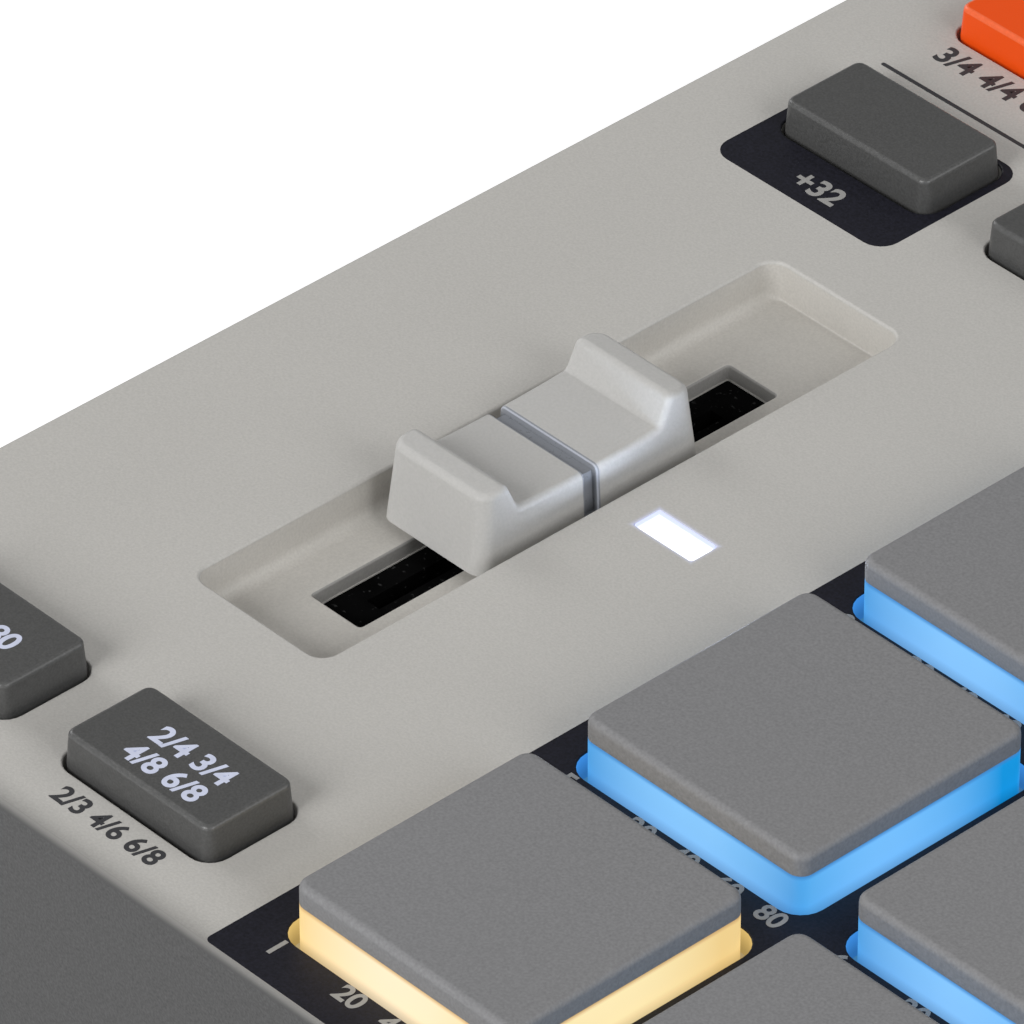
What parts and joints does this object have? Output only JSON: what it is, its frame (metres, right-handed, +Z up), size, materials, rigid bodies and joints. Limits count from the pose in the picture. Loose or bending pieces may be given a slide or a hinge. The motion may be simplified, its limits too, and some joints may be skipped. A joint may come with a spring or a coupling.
{
  "type": "portable sampler",
  "caption": "Flat desktop sampler with a grid of lit square pads, a recessed fader, push buttons, knobs, a dial, a display and rear sockets; pads, buttons, fader, knobs and dial all move.",
  "frame": {"origin": "middle of the footprint, on the table under the feet", "axes": "+X to the player's right, +Y to the rear, +Z up"},
  "size_m": [0.1858, 0.2356, 0.053],
  "materials": {
    "panel_plastic": "fine matt texture, light warm grey",
    "case_plastic": "fine matt texture, dark grey",
    "foot_rubber": "matt",
    "steel": "plated",
    "aluminium": "turned",
    "board": "solder mask",
    "battery_foil": "foil pouch",
    "black_film": "thin black film",
    "black_plastic": "moulded",
    "fader_plastic": "translucent whitish, satin",
    "knob_plastic": "satin",
    "pad_rubber": "matt grey top over translucent sides",
    "button_plastic": "satin dark grey",
    "orange_plastic": "satin orange",
    "display_black": "black",
    "display_glass": "polished",
    "speaker": "black",
    "light_plastic": "lit white window"
  },
  "bodies": {
    "case": {"top_panel": "panel_plastic", "lower_case": "case_plastic", "rubber_feet": "foot_rubber", "case_screws": "steel", "main_board": "board", "control_board": "board", "battery_pack": "battery_foil", "pad_sensor_sheet": "black_film", "button_switches": "black_plastic", "fader_body": "steel", "fader_dust_sheet": "black_film", "fader_light": "light_plastic", "pot_bodies": "black_plastic", "rear_plate": "case_plastic", "display_module": "display_black", "display_lens": "display_glass", "speaker_driver": "speaker", "line_jacks": "black_plastic", "mini_jacks": "black_plastic", "usb_socket": "steel", "power_switch_body": "black_plastic"},
    "pad_01": {"pad_01": "pad_rubber"},
    "pad_02": {"pad_02": "pad_rubber"},
    "pad_03": {"pad_03": "pad_rubber"},
    "pad_04": {"pad_04": "pad_rubber"},
    "pad_05": {"pad_05": "pad_rubber"},
    "pad_06": {"pad_06": "pad_rubber"},
    "pad_07": {"pad_07": "pad_rubber"},
    "pad_08": {"pad_08": "pad_rubber"},
    "pad_09": {"pad_09": "pad_rubber"},
    "pad_10": {"pad_10": "pad_rubber"},
    "pad_11": {"pad_11": "pad_rubber"},
    "pad_12": {"pad_12": "pad_rubber"},
    "pad_13": {"pad_13": "pad_rubber"},
    "pad_14": {"pad_14": "pad_rubber"},
    "pad_15": {"pad_15": "pad_rubber"},
    "pad_16": {"pad_16": "pad_rubber"},
    "button_front_left": {"button_front_left": "button_plastic"},
    "button_front_right": {"button_front_right": "button_plastic"},
    "button_middle_left": {"button_middle_left": "button_plastic"},
    "button_middle_right": {"button_middle_right": "button_plastic"},
    "button_record": {"button_record": "orange_plastic"},
    "button_upper_2": {"button_upper_2": "button_plastic"},
    "button_upper_3": {"button_upper_3": "button_plastic"},
    "button_upper_4": {"button_upper_4": "button_plastic"},
    "button_upper_5": {"button_upper_5": "button_plastic"},
    "button_upper_6": {"button_upper_6": "button_plastic"},
    "knob_1": {"knob_1": "knob_plastic", "knob_shaft_1": "aluminium"},
    "knob_2": {"knob_2": "knob_plastic", "knob_shaft_2": "aluminium"},
    "knob_3": {"knob_3": "knob_plastic", "knob_shaft_3": "aluminium"},
    "knob_4": {"knob_4": "knob_plastic", "knob_shaft_4": "aluminium"},
    "dial": {"dial": "knob_plastic", "dial_shaft": "aluminium"},
    "fader": {"fader_cap": "fader_plastic", "fader_lever": "steel"},
    "power_slider": {"power_slider": "black_plastic"}
  },
  "joints": [
    {"name": "pad_01_press", "type": "slide", "parent": "case", "child": "pad_01", "axis": [0, 0, -1], "range_m": [0, 0.0012], "stiffness_N_per_m": 1500, "springref_m": -0.001},
    {"name": "pad_02_press", "type": "slide", "parent": "case", "child": "pad_02", "axis": [0, 0, -1], "range_m": [0, 0.0012], "stiffness_N_per_m": 1500, "springref_m": -0.001},
    {"name": "pad_03_press", "type": "slide", "parent": "case", "child": "pad_03", "axis": [0, 0, -1], "range_m": [0, 0.0012], "stiffness_N_per_m": 1500, "springref_m": -0.001},
    {"name": "pad_04_press", "type": "slide", "parent": "case", "child": "pad_04", "axis": [0, 0, -1], "range_m": [0, 0.0012], "stiffness_N_per_m": 1500, "springref_m": -0.001},
    {"name": "pad_05_press", "type": "slide", "parent": "case", "child": "pad_05", "axis": [0, 0, -1], "range_m": [0, 0.0012], "stiffness_N_per_m": 1500, "springref_m": -0.001},
    {"name": "pad_06_press", "type": "slide", "parent": "case", "child": "pad_06", "axis": [0, 0, -1], "range_m": [0, 0.0012], "stiffness_N_per_m": 1500, "springref_m": -0.001},
    {"name": "pad_07_press", "type": "slide", "parent": "case", "child": "pad_07", "axis": [0, 0, -1], "range_m": [0, 0.0012], "stiffness_N_per_m": 1500, "springref_m": -0.001},
    {"name": "pad_08_press", "type": "slide", "parent": "case", "child": "pad_08", "axis": [0, 0, -1], "range_m": [0, 0.0012], "stiffness_N_per_m": 1500, "springref_m": -0.001},
    {"name": "pad_09_press", "type": "slide", "parent": "case", "child": "pad_09", "axis": [0, 0, -1], "range_m": [0, 0.0012], "stiffness_N_per_m": 1500, "springref_m": -0.001},
    {"name": "pad_10_press", "type": "slide", "parent": "case", "child": "pad_10", "axis": [0, 0, -1], "range_m": [0, 0.0012], "stiffness_N_per_m": 1500, "springref_m": -0.001},
    {"name": "pad_11_press", "type": "slide", "parent": "case", "child": "pad_11", "axis": [0, 0, -1], "range_m": [0, 0.0012], "stiffness_N_per_m": 1500, "springref_m": -0.001},
    {"name": "pad_12_press", "type": "slide", "parent": "case", "child": "pad_12", "axis": [0, 0, -1], "range_m": [0, 0.0012], "stiffness_N_per_m": 1500, "springref_m": -0.001},
    {"name": "pad_13_press", "type": "slide", "parent": "case", "child": "pad_13", "axis": [0, 0, -1], "range_m": [0, 0.0012], "stiffness_N_per_m": 1500, "springref_m": -0.001},
    {"name": "pad_14_press", "type": "slide", "parent": "case", "child": "pad_14", "axis": [0, 0, -1], "range_m": [0, 0.0012], "stiffness_N_per_m": 1500, "springref_m": -0.001},
    {"name": "pad_15_press", "type": "slide", "parent": "case", "child": "pad_15", "axis": [0, 0, -1], "range_m": [0, 0.0012], "stiffness_N_per_m": 1500, "springref_m": -0.001},
    {"name": "pad_16_press", "type": "slide", "parent": "case", "child": "pad_16", "axis": [0, 0, -1], "range_m": [0, 0.0012], "stiffness_N_per_m": 1500, "springref_m": -0.001},
    {"name": "button_front_left_press", "type": "slide", "parent": "case", "child": "button_front_left", "axis": [0, 0, -1], "range_m": [0, 0.0009], "stiffness_N_per_m": 900, "springref_m": -0.001},
    {"name": "button_front_right_press", "type": "slide", "parent": "case", "child": "button_front_right", "axis": [0, 0, -1], "range_m": [0, 0.0009], "stiffness_N_per_m": 900, "springref_m": -0.001},
    {"name": "button_middle_left_press", "type": "slide", "parent": "case", "child": "button_middle_left", "axis": [0, 0, -1], "range_m": [0, 0.0009], "stiffness_N_per_m": 900, "springref_m": -0.001},
    {"name": "button_middle_right_press", "type": "slide", "parent": "case", "child": "button_middle_right", "axis": [0, 0, -1], "range_m": [0, 0.0009], "stiffness_N_per_m": 900, "springref_m": -0.001},
    {"name": "button_record_press", "type": "slide", "parent": "case", "child": "button_record", "axis": [0, 0, -1], "range_m": [0, 0.0009], "stiffness_N_per_m": 900, "springref_m": -0.001},
    {"name": "button_upper_2_press", "type": "slide", "parent": "case", "child": "button_upper_2", "axis": [0, 0, -1], "range_m": [0, 0.0009], "stiffness_N_per_m": 900, "springref_m": -0.001},
    {"name": "button_upper_3_press", "type": "slide", "parent": "case", "child": "button_upper_3", "axis": [0, 0, -1], "range_m": [0, 0.0009], "stiffness_N_per_m": 900, "springref_m": -0.001},
    {"name": "button_upper_4_press", "type": "slide", "parent": "case", "child": "button_upper_4", "axis": [0, 0, -1], "range_m": [0, 0.0009], "stiffness_N_per_m": 900, "springref_m": -0.001},
    {"name": "button_upper_5_press", "type": "slide", "parent": "case", "child": "button_upper_5", "axis": [0, 0, -1], "range_m": [0, 0.0009], "stiffness_N_per_m": 900, "springref_m": -0.001},
    {"name": "button_upper_6_press", "type": "slide", "parent": "case", "child": "button_upper_6", "axis": [0, 0, -1], "range_m": [0, 0.0009], "stiffness_N_per_m": 900, "springref_m": -0.001},
    {"name": "knob_1_turn", "type": "hinge", "parent": "case", "child": "knob_1", "pos_m": [-0.01835, 0.042, 0.04], "axis": [0, 0, -1], "range_deg": [-140, 140]},
    {"name": "knob_2_turn", "type": "hinge", "parent": "case", "child": "knob_2", "pos_m": [0.01155, 0.042, 0.04], "axis": [0, 0, -1], "range_deg": [-140, 140]},
    {"name": "knob_3_turn", "type": "hinge", "parent": "case", "child": "knob_3", "pos_m": [0.04145, 0.042, 0.04], "axis": [0, 0, -1], "range_deg": [-140, 140]},
    {"name": "knob_4_turn", "type": "hinge", "parent": "case", "child": "knob_4", "pos_m": [0.07135, 0.042, 0.04], "axis": [0, 0, -1], "range_deg": [-140, 140]},
    {"name": "dial_turn", "type": "hinge", "parent": "case", "child": "dial", "pos_m": [0.07135, 0.08, 0.04], "axis": [0, 0, -1], "continuous": true},
    {"name": "fader_slide", "type": "slide", "parent": "case", "child": "fader", "axis": [0, 1, 0], "range_m": [-0.0144, 0.0156]},
    {"name": "power_slide", "type": "slide", "parent": "case", "child": "power_slider", "axis": [1, 0, 0], "range_m": [0, 0.002]}
  ]
}
